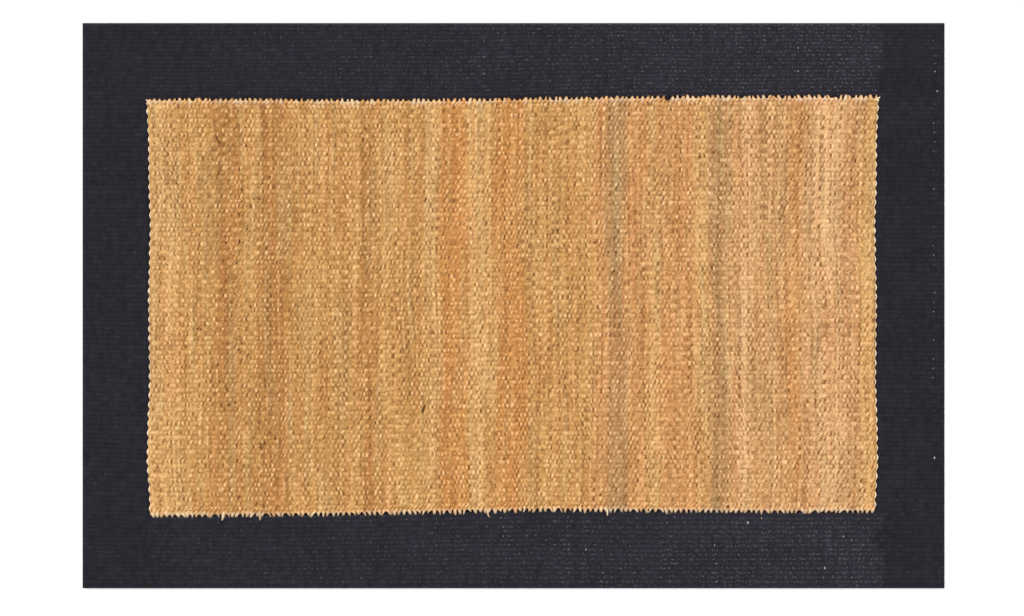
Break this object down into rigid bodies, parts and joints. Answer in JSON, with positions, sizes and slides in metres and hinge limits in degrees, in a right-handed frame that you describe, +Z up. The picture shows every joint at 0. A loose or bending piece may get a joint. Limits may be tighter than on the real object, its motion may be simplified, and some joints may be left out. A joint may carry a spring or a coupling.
{
  "type": "jute rug",
  "caption": "Flat rectangular hand-woven rug: a ribbed natural jute field, toothed along its long sides, inside a plain dark woven border.",
  "frame": {"origin": "centre of the rug's flat underside, on the floor", "axes": "+X along the rug's length and its warp ribs, to the right in the picture; +Y across the rug, up in the picture; +Z up from the floor"},
  "size_m": [0.915, 0.6, 0.0056],
  "materials": {
    "natural_jute_weft": "matte",
    "charcoal_weft": "matte"
  },
  "bodies": {
    "root": {"field": "natural_jute_weft", "border": "charcoal_weft"}
  },
  "joints": []
}
